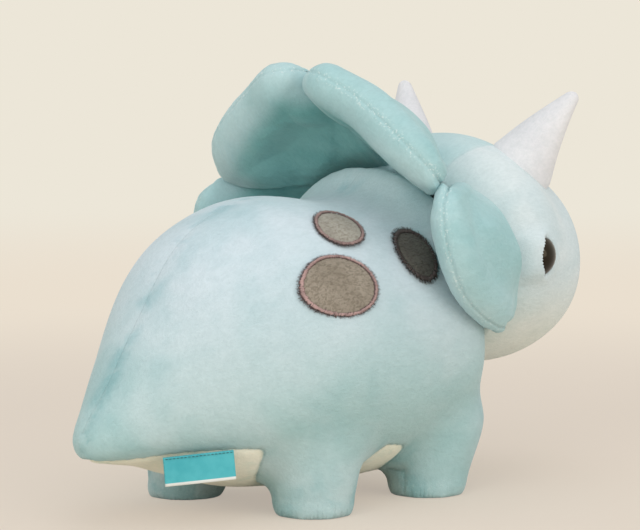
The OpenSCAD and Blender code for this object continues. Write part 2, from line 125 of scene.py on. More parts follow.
# Each lobe: span of its root round the head, and its rim as shares of the frill's size.
FRILL_SIZE = np.array([89.0, 86.0, 53.0])
UPPER_ROOT = (1.4, 33.0)
UPPER_RIM = np.array([
    [0.019, 0.752, 0.93], [0.09, 0.89, 0.97], [0.23, 0.94, 0.925], [0.41, 0.865, 0.745],
    [0.605, 0.825, 0.485], [0.765, 0.775, 0.225], [0.855, 0.665, 0.01], [0.85, 0.57, -0.09],
])
LOWER_ROOT = (39.0, 117.0)
LOWER_RIM = np.array([
    [0.895, 0.60, -0.15], [0.965, 0.72, -0.33], [1, 0.735, -0.63], [1.01, 0.665, -0.95],
    [0.99, 0.515, -1.24], [0.965, 0.32, -1.44], [0.92, 0.115, -1.56], [0.82, -0.09, -1.60],
])

# Extra fullness of the left upper lobe's rim.
FULLER = np.outer([0.0, 0.0, 0.2, 0.7, 1.0, 0.8, 0.3, 0.0], [0.030, 0.026, 0.0])

# Spots: ring, angle from the spine, length, width share, turn.
SPOTS = {
    "large": (5.5, 58.2, 47.0, 0.7, 0),
    "small": (6.12, 34.2, 35.0, 0.72, -20),
    "shoulder": (7.45, 49.3, 27.0, 1.2, 0),
}
STITCH_W = 2.2
STITCH_PITCH = 0.75
STITCH_R = 0.42
HAIR_R = 0.13

LABEL_RING = 3.38
LABEL_W = 35.0
LABEL_L = 16.0
LABEL_HALF_GAP = 0.7

SIDES = (("left", 1), ("right", -1))


# Forms.

def unit(v):
    return v / np.maximum(np.linalg.norm(v, axis=-1, keepdims=True), 1e-9)


def mix(a, b, t):
    return a + (b - a) * t


def ease(low, high, x):
    t = np.clip((x - low) / (high - low), 0, 1)
    return t * t * (3 - 2 * t)


def bell(x, wide):
    return np.exp(-(x / wide) ** 2)


def full_turn(count):
    return np.linspace(0, 2 * np.pi, count, endpoint=False)


def flat_ring(count):
    turn = full_turn(count)
    return np.stack([np.cos(turn), np.sin(turn), 0 * turn], -1)


def curve_at(points, u):
    """Smooth curve through the rows of points, u counting the rows."""
    u = np.asarray(u, float)
    last = len(points) - 1
    i = np.minimum(np.floor(u).astype(int), last - 1)
    t = (u - i)[..., None]
    a, b, c, d = (points[np.clip(i + k, 0, last)] for k in (-1, 0, 1, 2))
    curve = 1.5 * (b - c) + (d - a) / 2
    return b + t * ((c - a) / 2 + t * ((a - 2.5 * b + 2 * c - d / 2) + t * curve))


def body_point(u, angle, inset=0.0):
    """Point of the body at ring u and angle from the spine, 90 on the left."""
    u, angle = np.broadcast_arrays(np.asarray(u, float), np.asarray(angle, float))
    r = curve_at(RINGS, u)
    a = np.radians(angle)
    half, up, down = (np.maximum(r[..., i] - inset, 0.3) for i in (2, 3, 4))
    rise = np.where(np.cos(a) > 0, up, down) * np.cos(a)
    tilt = np.radians(r[..., 5])
    back = HALF_CREASE * (u / LAST) ** 8
    along = FOOT_Y + TAIL_REACH - r[..., 0] * RUN
    along = along - inset * (1 - np.minimum(u, 1)) + rise * np.sin(tilt) + back
    return np.stack([half * np.sin(a), along, r[..., 1] + rise * np.cos(tilt)], -1)


def belly_half(u):
    t = np.minimum(np.asarray(u, float) / LAST, 0.88)
    return mix(BELLY_TIP, BELLY_ANGLE, np.sin(np.pi * t) ** 0.8)


def egg_reach(way, centre, radii):
    o = (HEAD_C - centre) / radii
    k = way / radii
    m = k @ o
    kk = (k * k).sum(-1)
    return (-m + np.sqrt(m * m - kk * (o @ o - 1))) / kk


def head_at(angle, turn, inset=0.0):
    angle, turn = np.broadcast_arrays(np.radians(angle), np.radians(turn))
    around = np.sin(turn)[..., None] * SIDEWAYS + np.cos(turn)[..., None] * NECK_UP
    way = np.cos(angle)[..., None] * NECK_OUT + np.sin(angle)[..., None] * around
    skull = egg_reach(way, SKULL_C, SKULL_R) ** SWELL
    muzzle = egg_reach(way, MUZZLE_C, MUZZLE_R) ** SWELL
    reach = (skull + muzzle) ** (1 / SWELL) - inset
    return HEAD_C + reach[..., None] * way


def head_normal(angle, turn):
    p = head_at(angle + 1, turn) - head_at(angle - 1, turn)
    q = head_at(angle, turn + 1) - head_at(angle, turn - 1)
    return unit(np.cross(q, p))


def neck_angle(turn):
    """Angle at which the head meets the plane across the neck."""
    low = np.full(np.shape(turn), 90.0)
    high = np.full(np.shape(turn), 178.0)
    for _ in range(16):
        mid = (low + high) / 2
        beyond = (head_at(mid, turn) - NECK) @ NECK_OUT > HALF_CREASE
        low = np.where(beyond, mid, low)
        high = np.where(beyond, high, mid)
    return low


def lobe_flat(root, rim, q, w):
    """Middle surface of a lobe, q from its root to its rim and w along them."""
    q, w = np.broadcast_arrays(np.asarray(q, float), np.asarray(w, float))
    low = head_at(ROOT_ANGLE, mix(root[0], root[1], w), -LOBE_GAP)
    high = head_at(ROOT_ANGLE, 0.0, -LOBE_GAP) + curve_at(rim, w * (len(rim) - 1)) * FRILL_SIZE
    return mix(low, high, q[..., None])


def lobe_normal(root, rim, q, w):
    d = 0.01
    q = np.clip(q, d, 0.95)
    w = np.clip(w, d, 1 - d)
    along = lobe_flat(root, rim, q + d, w) - lobe_flat(root, rim, q - d, w)
    across = lobe_flat(root, rim, q, w - d) - lobe_flat(root, rim, q, w + d)
    return unit(np.cross(along, across))


def soft_least(a, b, blend):
    """Smaller of two values, rounded where they are about equal."""
    return -blend * np.logaddexp(-a / blend, -b / blend)


def lumps(points, wave, seed):
    """Soft unevenness of stuffing: a sum of waves over the points, about -1 to 1."""
    pick = np.random.default_rng(seed)
    total = np.zeros(len(points))
    for _ in range(9):
        way = unit(pick.normal(size=3)) * 2 * np.pi / (wave * pick.uniform(0.7, 1.5))
        total += np.sin(points @ way + pick.uniform(0, 6.28))
    return total / 4.5


# Mesh helpers.

def values_of(items, name, width, kind=float):
    flat = np.empty(len(items) * width, kind)
    items.foreach_get(name, flat)
    return flat.reshape(-1, width)


def new_piece(name, points, faces, inside=None):
    """Mesh object whose faces look away from its middle or from the point inside."""
    mesh = bpy.data.meshes.new(name)
    mesh.from_pydata((np.asarray(points) * MM).tolist(), [], faces)
    mesh.validate()
    middle = np.mean(points, axis=0) if inside is None else np.array(inside)
    sides = mesh.polygons
    away = values_of(sides, "center", 3) - middle * MM
    if (away * values_of(sides, "normal", 3) * values_of(sides, "area", 1)).sum() < 0:
        mesh.flip_normals()
    mesh.shade_smooth()
    piece = bpy.data.objects.new(name, mesh)
    scene.collection.objects.link(piece)
    return piece


def points_of(mesh):
    return values_of(mesh.vertices, "co", 3) / MM


def set_points(mesh, points):
    mesh.vertices.foreach_set("co", (points * MM).ravel())
    mesh.update()


def normals_of(mesh):
    return values_of(mesh.vertex_normals, "vector", 3)


def faces_of(mesh):
    return [tuple(f.vertices) for f in mesh.polygons]


def set_values(mesh, **values):
    for name, value in values.items():
        attribute = mesh.attributes.new(name, "FLOAT", "POINT")
        attribute.data.foreach_set("value", np.asarray(value, np.float32))


def baked(piece, kind, **settings):
    """Applies one modifier to the piece's mesh."""
    modifier = piece.modifiers.new(kind.lower(), kind)
    for key, value in settings.items():
        setattr(modifier, key, value)
    graph = bpy.context.evaluated_depsgraph_get()
    mesh = bpy.data.meshes.new_from_object(piece.evaluated_get(graph))
    old = piece.data
    piece.modifiers.clear()
    piece.data = mesh
    bpy.data.meshes.remove(old)
    mesh.shade_smooth()


def relax(points, edges, weight, steps):
    """Draws each point towards the middle of its neighbours."""
    count = np.bincount(edges.ravel(), minlength=len(points))[:, None]
    for _ in range(steps):
        total = np.zeros_like(points)
        np.add.at(total, edges[:, 0], points[edges[:, 1]])
        np.add.at(total, edges[:, 1], points[edges[:, 0]])
        points = points + weight[:, None] * (total / count - points)
    return points


def tree_of(points):
    tree = KDTree(len(points))
    for i, p in enumerate(points):
        tree.insert(p, i)
    tree.balance()
    return tree


def nearest(tree, points):
    found = [tree.find(p) for p in points]
    return np.array([f[1] for f in found]), np.array([f[2] for f in found])


CLOTH_PRESSURE = 4.0
CLOTH_FRAMES = 20


def stuffed(points, faces, held, voxel, cap):
    """Points moved as a coarse copy of them moves when it is blown up as cloth, held at its seams."""
    copy = new_piece("cloth copy", points, faces)
    baked(copy, "REMESH", mode="VOXEL", voxel_size=voxel * MM)
    start = points_of(copy.data)
    group = copy.vertex_groups.new(name="held")
    for i, weight in enumerate(held(start)):
        group.add([i], float(weight), "REPLACE")
    cloth = copy.modifiers.new("cloth", "CLOTH")
    cloth.settings.quality = 5
    cloth.settings.use_pressure = True
    cloth.settings.uniform_pressure_force = CLOTH_PRESSURE
    cloth.settings.effector_weights.gravity = 0.0
    cloth.settings.vertex_group_mass = "held"
    cloth.point_cache.frame_start = 1
    cloth.point_cache.frame_end = CLOTH_FRAMES
    for moment in range(1, CLOTH_FRAMES + 1):
        scene.frame_set(moment)
    graph = bpy.context.evaluated_depsgraph_get()
    move = points_of(copy.evaluated_get(graph).data) - start
    far = np.linalg.norm(move, axis=1, keepdims=True)
    move *= np.minimum(1, cap / np.maximum(far, 1e-6))
    scene.frame_set(1)
    bpy.data.objects.remove(copy)
    return points + carried(tree_of(start), move, points)


def carried(tree, move, points):
    """Movement of the simulated copy at other points."""
    total = np.empty((len(points), 3))
    for i, p in enumerate(points):
        near = tree.find_n(p, 6)
        weight = np.array([1 / (f[2] + 0.5) ** 2 for f in near])
        total[i] = weight @ move[[f[1] for f in near]] / weight.sum()
    return total


def loft(first, loops, last):
    """Points and faces of closed loops between two end points."""
    loops = np.asarray(loops)
    n, m = loops.shape[:2]
    points = np.vstack([[first], loops.reshape(-1, 3), [last]])
    faces = [(0, 1 + (j + 1) % m, 1 + j) for j in range(m)]
    for i in range(n - 1):
        a = 1 + i * m
        b = a + m
        faces += [(a + j, a + (j + 1) % m, b + (j + 1) % m, b + j) for j in range(m)]
    end = len(points) - 1
    faces += [(end, end - m + j, end - m + (j + 1) % m) for j in range(m)]
    return points, faces


def disc(first, loops):
    """Points and faces of loops round a first point, open at the last loop."""
    points, faces = loft(first, loops, first)
    end = len(points) - 1
    return points[:end], [f for f in faces if max(f) < end]


def sheet_faces(rows, columns, turned=False):
    faces = []
    for i in range(rows - 1):
        for j in range(columns - 1):
            a = i * columns + j
            face = (a, a + 1, a + columns + 1, a + columns)
            faces.append(face[::-1] if turned else face)
    return faces


def joined(parts):
    points = []
    faces = []
    start = 0
    for p, f in parts:
        points.append(np.asarray(p))
        faces += [tuple(start + i for i in face) for face in f]
        start += len(p)
    return np.vstack(points), faces


def tube(path, radius, sides):
    """Points and faces of a round thread along a path."""
    path = np.asarray(path, float)
    way = unit(np.gradient(path, axis=0))
    aside = unit(np.cross(way, np.array([0.13, 0.21, 0.97])))
    over = np.cross(aside, way)
    turn = full_turn(sides)
    step = np.arange(len(path))
    size = radius * np.clip(np.minimum(step, step[::-1]) * 0.5 + 0.55, 0, 1)[:, None, None]
    ring = np.cos(turn)[None, :, None] * aside[:, None] + np.sin(turn)[None, :, None] * over[:, None]
    return loft(path[0], path[:, None] + size * ring, path[-1])


# Materials.

def feed(tree, socket, value):
    if isinstance(value, bpy.types.NodeSocket):
        tree.links.new(value, socket)
    else:
        socket.default_value = value


def add_node(tree, kind, inputs=None, **settings):
    node = tree.nodes.new(kind)
    for key, value in settings.items():
        setattr(node, key, value)
    for key, value in (inputs or {}).items():
        feed(tree, node.inputs[key], value)
    return node


class Shader:
    """Builds one node material."""

    def __init__(self, name):
        self.material = bpy.data.materials.new(name)
        self.material.use_nodes = True
        self.tree = self.material.node_tree
        self.surface = self.tree.nodes["Principled BSDF"]
        self.place = self.add("ShaderNodeTexCoord").outputs["Object"]

    def add(self, kind, inputs=None, **settings):
        return add_node(self.tree, kind, inputs, **settings)

    def set(self, **values):
        for key, value in values.items():
            feed(self.tree, self.surface.inputs[key.replace("_", " ")], value)

    def value_of(self, name):
        return self.add("ShaderNodeAttribute", attribute_name=name).outputs["Fac"]

    def math(self, kind, a, b):
        return self.add("ShaderNodeMath", {0: a, 1: b}, operation=kind).outputs[0]

    def times(self, a, b):
        return self.math("MULTIPLY", a, b)

    def between(self, value, low, high):
        node = self.add("ShaderNodeMapRange", {"Value": value, "From Min": low, "From Max": high},
                        interpolation_type="SMOOTHSTEP")
        return node.outputs[0]

    def noise(self, scale, detail=2.0, rough=0.5, warp=0.0, stretch=(1, 1, 1)):
        where = self.add("ShaderNodeMapping", {"Vector": self.place, "Scale": stretch}).outputs[0]
        node = self.add("ShaderNodeTexNoise", {"Vector": where, "Scale": scale, "Detail": detail,
                                               "Roughness": rough, "Distortion": warp})
        return node.outputs[0]

    def blend(self, share, a, b, kind="MIX"):
        inputs = {0: share, 6: a, 7: b}
        return self.add("ShaderNodeMix", inputs, data_type="RGBA", blend_type=kind).outputs[2]

    def bump(self, height, strength, depth, under=None):
        node = self.add("ShaderNodeBump", {"Height": height, "Strength": strength, "Distance": depth})
        if under is not None:
            self.tree.links.new(under, node.inputs["Normal"])
        return node.outputs[0]


def tone(hex_code):
    """Linear colour of a screen colour."""
    parts = [int(hex_code[i:i + 2], 16) / 255 for i in (1, 3, 5)]
    return tuple(c / 12.92 if c <= 0.04045 else ((c + 0.055) / 1.055) ** 2.4 for c in parts) + (1.0,)


def tones(*codes):
    return [tone(code) for code in codes]


FIBRE_SHADE = (0.45, 0.55, 0.55, 1)
SEAM_SHADE = (0.30, 0.42, 0.42, 1)
CRUSH_SHADE = (0.58, 0.78, 0.80, 1)
# Each fabric, and the lit and shaded copies of some of them, which are painted light and painted shade:
# their deep, base and pale colours.
AQUA = tones("#86b3b5", "#a9c8c9", "#c4d6d9")
# A paler copy of the aqua: painted light where light falls on the body's top and front.
AQUA_PAINTED_LIGHT = tones("#a3c4cc", "#c2d6de", "#d3dfe8")
# A light copy of the aqua: painted light that lifts the back of the neck under the frill.
NAPE_PAINTED_LIGHT = tones("#b9dbe2", "#d2e9ee", "#dfeff3")
FRILL = tones("#84b9bd", "#a7ccd0", "#c2dce0")
# A darker, shaded copy of the frill: painted shade on the inner panels of the lobes' back skins.
FRILL_PAINTED_SHADE = tones("#62a2a2", "#7bb5b4", "#93c5c4")
# A paler copy of the aqua: painted light on the face.
FACE_PAINTED_LIGHT = tones("#bdd4db", "#d3e1e6", "#e0e9ec")
# A warm pale tone: painted bounce light from the floor on the chin.
CHIN_PAINTED_BOUNCE = tones("#dde3d6", "#e9ebdf", "#eff0e6")
CREAM = tones("#e0dec6", "#f0eedb", "#f6f4e8")
WHITE = tones("#d6d6dc", "#e4e4e8", "#ededf0")
FUZZ = tone("#eef4f2")
# Stretch of the pile's noise along the nap.
NAP = (1.3, 0.45, 1.0)


def plush_colour(s, fabric):
    """Brushed pile: clouds of pale nap, darker patches and strokes, and fine smudges."""
    deep, base, pale = fabric
    cloud = s.between(s.noise(13.0, 2.0, 0.5, 0.3), 0.40, 0.62)
    patch = s.between(s.noise(19.0, 2.0, 0.5, 0.4), 0.50, 0.68)
    stroke = s.between(s.noise(26.0, 3.0, 0.55, 0.3, NAP), 0.48, 0.76)
    smudge = s.between(s.noise(80.0, 3.0, 0.6, 0.3, NAP), 0.40, 0.75)
    colour = s.blend(s.times(cloud, 0.60), base, pale)
    colour = s.blend(s.times(patch, 0.40), colour, deep)
    colour = s.blend(s.times(stroke, 0.42), colour, deep)
    return s.blend(s.times(smudge, 0.16), colour, pale)


def plush_finish(s, colour, line_shade=0.0, crush_shade=0.0, fuzz=0.12):
    """Pile with its relief and, where there is a line shade, what shows along the seams."""
    fibre = s.noise(620.0, 3.0, 0.6, 0.4, NAP)
    fleck = s.noise(1900.0, 2.0, 0.6)
    tuft = s.noise(260.0, 3.0, 0.55, 0.5, NAP)
    shade = s.between(fibre, 0.30, 0.70)
    colour = s.blend(s.times(s.math("SUBTRACT", 1.0, shade), 0.12), colour, FIBRE_SHADE, "MULTIPLY")
    colour = s.blend(s.times(s.between(tuft, 0.60, 0.36), 0.07), colour, FIBRE_SHADE, "MULTIPLY")
    relief = s.bump(tuft, 0.22, 0.0012)
    relief = s.bump(fibre, 0.42, 0.0007, relief)
    relief = s.bump(fleck, 0.40, 0.0003, relief)
    if line_shade:
        seam = s.value_of("seam")
        line = s.between(seam, 1.2, 0.1)
        stitch = s.times(line, s.between(s.noise(330.0, 1.0), 0.40, 0.60))
        crush = s.times(s.between(seam, 11.0, 1.5), s.between(s.noise(42.0, 3.0, 0.6, 0.4), 0.45, 0.66))
        colour = s.blend(s.times(crush, crush_shade), colour, CRUSH_SHADE, "MULTIPLY")
        speck = s.times(s.between(seam, 4.5, 0.8), s.between(s.noise(750.0, 2.0, 0.7), 0.56, 0.66))
        colour = s.blend(s.times(speck, fuzz), colour, FUZZ)
        colour = s.blend(s.times(line, 0.6 * line_shade), colour, SEAM_SHADE, "MULTIPLY")
        colour = s.blend(s.times(stitch, line_shade), colour, SEAM_SHADE, "MULTIPLY")
        relief = s.bump(s.math("SUBTRACT", 1.0, line), min(0.5, 2.0 * line_shade), 0.0010, relief)
    s.set(Base_Color=colour, Roughness=0.95, Normal=relief)
    s.set(Sheen_Weight=0.22, Sheen_Roughness=0.5, Sheen_Tint=(0.92, 0.98, 1.0, 1))
    s.set(Specular_IOR_Level=0.12)
    return s.material


def body_plush():
    s = Shader("body plush")
    # Painted light: the body pales towards a lit copy of the aqua on its top and front.
    side = s.blend(s.value_of("pale"), plush_colour(s, AQUA), plush_colour(s, AQUA_PAINTED_LIGHT))
    # Painted light that lifts the back of the neck under the frill.
    side = s.blend(s.value_of("nape"), side, plush_colour(s, NAPE_PAINTED_LIGHT))
    under = plush_colour(s, CREAM)
    belly = s.between(s.value_of("belly"), -0.4, 0.4)
    return plush_finish(s, s.blend(belly, side, under), line_shade=0.3, crush_shade=0.7)


def head_plush():
    s = Shader("head plush")
    # Painted light: the head pales towards the front.
    colour = s.blend(s.value_of("face"), plush_colour(s, AQUA), plush_colour(s, FACE_PAINTED_LIGHT))
    colour = s.blend(s.times(s.value_of("crown"), 0.7), colour, plush_colour(s, FRILL))
    # Painted bounce light from the floor, low on the head.
    colour = s.blend(s.times(s.value_of("chin"), 0.75), colour, plush_colour(s, CHIN_PAINTED_BOUNCE))
    return plush_finish(s, colour, line_shade=0.08, crush_shade=0.25)


def frill_plush():
    s = Shader("frill plush")
    # Painted shade: the back skins' inner panels take a darker teal.
    colour = s.blend(s.value_of("inner"), plush_colour(s, FRILL), plush_colour(s, FRILL_PAINTED_SHADE))
    return plush_finish(s, colour, line_shade=0.08, fuzz=0.45)


def plain_plush(name, fabric, line_shade=0.0):
    s = Shader(name)
    return plush_finish(s, plush_colour(s, fabric), line_shade)


def filling_fibre():
    s = Shader("filling fibre")
    strand = s.noise(240.0, 5.0, 0.7, 3.0)
    colour = s.blend(strand, tone("#d9d9d6"), tone("#f7f7f5"))
    s.set(Base_Color=colour, Roughness=0.9, Normal=s.bump(strand, 0.8, 0.002))
    return s.material


def spot_felt(name, dark, light):
    """Felt with a pressed nap of short curved strokes."""
    s = Shader(name)
    nap = s.noise(560.0, 3.0, 0.65, 1.2, (1.5, 0.6, 1.0))
    cloud = s.noise(60.0, 3.0, 0.6, 0.5)
    colour = s.blend(s.times(s.between(cloud, 0.35, 0.7), 0.4), tone(light), tone(dark))
    colour = s.blend(s.times(s.between(nap, 0.42, 0.64), 0.65), colour, tone(dark))
    relief = s.bump(nap, 0.8, 0.0012)
    relief = s.bump(s.noise(1500.0, 2.0, 0.6), 0.4, 0.0004, relief)
    s.set(Base_Color=colour, Roughness=0.9, Normal=relief, Sheen_Weight=0.2, Sheen_Roughness=0.4)
    s.set(Specular_IOR_Level=0.15)
    return s.material


def satin_thread(name, dark, light):
    """Glossy thread, with painted shade towards its ends where it dips into the fabric."""
    s = Shader(name)
    strand = s.noise(900.0, 3.0, 0.6, 0.4)
    patch = s.noise(120.0)
    middle = s.blend(s.times(s.between(patch, 0.35, 0.65), 0.4), tone(light), tone(dark))
    # Painted shade: the thread darkens towards its ends.
    colour = s.blend(s.between(s.value_of("end"), 0.25, 0.85), middle, tone(dark))
    colour = s.blend(s.times(s.between(strand, 0.4, 0.7), 0.25), colour, tone(light))
    s.set(Base_Color=colour, Roughness=0.5, Normal=s.bump(strand, 0.5, 0.0003))
    return s.material


def woven_ribbon():
    s = Shader("woven ribbon")
    edge = s.between(s.value_of("edge"), 1.9, 1.6)
    turned = s.add("ShaderNodeMapping", {"Vector": s.place, "Rotation": (0, 0, 0.97)}).outputs[0]
    weave = 1.0
    for scale, way in ((900.0, "Z"), (700.0, "Y")):
        threads = s.add("ShaderNodeTexWave", {"Vector": turned, "Scale": scale, "Distortion": 0.6,
                                              "Detail": 1.0}, bands_direction=way)
        weave = s.times(weave, threads.outputs[1])
    colour = s.blend(s.between(s.noise(90.0, 3.0), 0.35, 0.65), tone("#38aebb"), tone("#4dbcc7"))
    colour = s.blend(s.times(weave, 0.35), colour, tone("#7ad0d7"))
    colour = s.blend(edge, colour, tone("#eef1ee"))
    s.set(Base_Color=colour, Roughness=0.6, Normal=s.bump(weave, 0.5, 0.0003))
    s.set(Sheen_Weight=0.15, Sheen_Roughness=0.4)
    return s.material


def eye_gloss():
    s = Shader("eye gloss")
    depth = s.noise(70.0)
    s.set(Base_Color=s.blend(depth, tone("#050404"), tone("#16110c")), Roughness=0.14)
    s.set(Specular_IOR_Level=0.42, Specular_Tint=(0.8, 0.7, 0.5, 1))
    s.set(Normal=s.bump(s.noise(25.0), 0.03, 0.002))
    return s.material


def washer_plastic():
    s = Shader("washer plastic")
    grain = s.noise(400.0, 3.0)
    s.set(Base_Color=s.blend(grain, tone("#dedfdc"), tone("#f0f0ed")), Roughness=0.45,
          Normal=s.bump(grain, 0.1, 0.0003))
    return s.material


MATERIALS = {
    "body": body_plush(),
    "head": head_plush(),
    "frill": frill_plush(),
    "horn": plain_plush("horn plush", WHITE, 0.1),
    "cream": plain_plush("cream plush", CREAM),
    "filling": filling_fibre(),
    "large felt": spot_felt("large spot felt", "#6f6759", "#a0978a"),
    "small felt": spot_felt("small spot felt", "#7b766b", "#aeaaa0"),
    # The shoulder spot's felt is painted darker than the other spots': painted shade.
    "shoulder felt": spot_felt("shoulder spot felt", "#2c2a24", "#66635c"),
    "large thread": satin_thread("mauve thread", "#4a3a3b", "#b89a97"),
    "small thread": satin_thread("dusky thread", "#4a3c3c", "#9d8582"),
    # Its thread is painted darker too: painted shade.
    "shoulder thread": satin_thread("shaded dark thread", "#2c2625", "#4d4341"),
    "label thread": satin_thread("label thread", "#1c4650", "#2f6873"),
    "ribbon": woven_ribbon(),
    "eye": eye_gloss(),
    "washer": washer_plastic(),
}


def paint(piece, material):
    piece.data.materials.clear()
    piece.data.materials.append(MATERIALS[material])


def dress(piece, material, body):
    paint(piece, material)
    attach(piece, body)


# Body and legs: one sewn cover over the filling.

def body_shell():
    u = np.linspace(0, LAST, 130)
    a = np.linspace(0, 360, 120, endpoint=False)
    loops = list(body_point(u[:, None], a[None, :]))
    turn = np.radians(a)[:, None]
    for out, inset in ((-2.0, 1.0), (2.0, 4.0), (7.0, 8.0), (12.0, 12.0)):
        across = (NECK_W / 2 - inset) * np.sin(turn) * SIDEWAYS
        over = (NECK_TALL / 2 - inset) * np.cos(turn) * NECK_UP
        loops.append(NECK + out * NECK_OUT + across + over)
    tip = np.array([0, FOOT_Y + TAIL_REACH, TAIL_H])
    return loft(tip, loops, NECK + 12 * NECK_OUT)


def foot_of(side, end):
    return np.array([side * FOOT_GAUGE / 2, FOOT_Y - end * FOOT_BASE / 2, 0.0])


def leg_shell(side, end):
    foot = foot_of(side, end) - (0, 0, 2.0)
    flare = SHOULDER_FLARE + SHOULDER_FULLER if end > 0 else HIP_FLARE + HIP_FULLER
    top = np.array([-side * LEG_LEAN, -SHOULDER_LEAN if end > 0 else -HIP_LEAN, LEG_RISE])
    ring = flat_ring(56) * (1, -1, 1)
    loops = []
    for t in np.concatenate([np.linspace(0, 0.11, 8), np.linspace(0.14, 1.0, 30)]):
        crown = max(t - LEG_CROWN, 0) / (1.05 - LEG_CROWN)
        r = (FOOT_R - 0.5 + flare * t ** 1.3) * math.sqrt(1 - crown ** 2)
        drop = max(LEG_HEM - t * LEG_RISE, 0)
        r -= LEG_HEM - math.sqrt(LEG_HEM ** 2 - drop ** 2)
        loops.append(foot + t * top + r * ring)
    return loft(foot, loops, foot + top)


def body_places(points):
    """Ring and angle of points on or near the body."""
    u = np.linspace(0, LAST, 400)
    a = np.linspace(0, 360, 90, endpoint=False)
    grid = body_point(u[:, None], a[None, :]).reshape(-1, 3)
    index, gap = nearest(tree_of(grid), points)
    ring = u[index // len(a)]
    r = curve_at(RINGS, ring)
    rise = (points[:, 2] - r[:, 1]) / np.cos(np.radians(r[:, 5]))
    height = np.where(rise > 0, r[:, 3], r[:, 4])
    angle = np.degrees(np.arctan2(points[:, 0] / r[:, 2], rise / height))
    return ring, angle, gap


def leg_seams(points):
    """Distance from the upright seam on the inner face of each leg and the short one beside it."""
    gap = np.full(len(points), 40.0)
    for side in (1, -1):
        for end in (1, -1):
            x, y, z = (points - foot_of(side, end)).T
            inner = np.where(end * y > 0, 0, 40.0)
            upright = np.hypot(x, 1.5 * np.maximum(z - 15, 0))
            level = np.hypot(z - 13.5, 3 * np.maximum(np.abs(x + side * 6) - 6, 0))
            near = np.maximum(np.hypot(x, y) - 26, 0)
            gap = np.minimum(gap, np.minimum(upright, level) + inner + near)
    return gap


def body_marks(points, leg_tree):
    """Depth of points inside the belly panel, and their distance from the nearest seam and the spine."""
    ring, angle, _ = body_places(points)
    gap_leg = nearest(leg_tree, points)[1]
    r = curve_at(RINGS, ring)
    size = (r[:, 2] + r[:, 4]) / 2
    belly = (np.abs(angle) - (180 - belly_half(ring))) * np.pi / 180 * size - BELLY_DROP
    margin = 2 + 0.45 * np.maximum(points[:, 2] - BELLY_H, 0)
    belly = soft_least(belly, gap_leg - margin, 2.5)
    seam = np.minimum(np.abs(belly), leg_seams(points))
    spine = np.where((np.abs(angle) < 80) & (ring > 0.4), np.abs(points[:, 0]), 30.0)
    return belly, seam, spine


def make_body():
    legs = [leg_shell(side, end) for side in (1, -1) for end in (1, -1)]
    shell = joined([body_shell()] + legs)
    piece = new_piece("body_cover", *shell)
    baked(piece, "REMESH", mode="VOXEL", voxel_size=3.0 * MM)
    mesh = piece.data
    points = points_of(mesh)
    leg_tree = tree_of(np.vstack([p for p, _ in legs]))
    gap_leg = nearest(leg_tree, points)[1]
    gap_body = body_places(points)[2]
    junction = bell(gap_leg + gap_body, 14.0) * ease(12, 32, points[:, 2])
    edges = values_of(mesh.edges, "vertices", 2, int)
    points = relax(points, edges, np.full(len(points), 0.3), 4)
    points = relax(points, edges, 0.6 * junction, 50)
    set_points(mesh, points)

    def held(place):
        _, seam, spine = body_marks(place, leg_tree)
        ends = ease(12, 5, place[:, 2]) + ease(6, 0, np.abs((place - NECK) @ NECK_OUT + 3))
        return np.clip(bell(seam, 4) + 0.6 * bell(spine, 4) + ends, 0, 1)

    set_points(mesh, stuffed(points, faces_of(mesh), held, 5.0, 2.5))
    baked(piece, "SUBSURF", levels=1)
    mesh = piece.data
    points = points_of(mesh)
    normals = normals_of(mesh)
    belly, seam, spine = body_marks(points, leg_tree)
    _, y, z = points.T
    pucker = 1 + 0.25 * np.sin(y * 2 * np.pi / 6.5)
    sink = 0.9 * bell(seam, 1.8) * pucker + 0.6 * bell(seam, 8.0)
    sink += 0.3 * bell(spine, 2.0) + 0.5 * bell(spine, 10.0)
    chest = ease(-10, -45, y) * bell(z - 62, 20.0)
    calm = ease(3, 14, z)
    # Painted light: paler on the body's top and on its front, where light falls.
    pale = np.maximum(ease(45, 135, z), 0.75 * ease(-35, -75, y))
    # Painted light on the back of the neck, under the frill.
    nape = ease(5, -30, y) * ease(120, 150, z)
    points = points + normals * ((lumps(points, 70.0, 3) * 0.7 + 3.5 * chest - sink) * calm)[:, None]
    points[:, 2] = np.maximum(points[:, 2], 0.2)
    set_points(mesh, points)
    set_values(mesh, belly=belly, pale=pale, nape=nape, seam=np.minimum(seam, spine + 0.7))
    dress(piece, "body", "torso")
    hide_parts("side_left", "side_right", "belly_panel", "body_fill", "leg_front_left",
                "leg_front_right", "leg_rear_left", "leg_rear_right")


# Radius and height of a sole's loops, from its inner face over its edge to the floor.
SOLE_PROFILE = [(9.0, 2.2), (13.0, 2.0), (15.6, 1.6), (16.2, 0.9), (15.8, 0.3), (14.5, 0.0), (8.0, 0.0)]


def make_sole(name, side, end):
    foot = foot_of(side, end)
    puckers = 1 + 0.012 * np.sin(18 * full_turn(64))[:, None]
    loops = [foot + r * puckers * flat_ring(64) + (0, 0, z) for r, z in SOLE_PROFILE]
    piece = new_piece(name, *loft(foot + (0, 0, SOLE_PROFILE[0][1]), loops, foot))
    dress(piece, "cream", "torso")
    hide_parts(name)


# Head: one cover, sunk under each eye and puffed over its rear edge.

EYE_ANGLE = 98.5
EYE_TURN = 87.0
EYE_AT = head_at(EYE_ANGLE, EYE_TURN)
EYE_OUT = head_normal(EYE_ANGLE, EYE_TURN)
EYE_FORE = unit(np.cross(EYE_OUT, UPWARDS))
EYE_UP = np.cross(EYE_FORE, EYE_OUT)
CROWN_SEAM = 28.0
CROWN_R = 62.0
NECK_FILL_R = 38.0


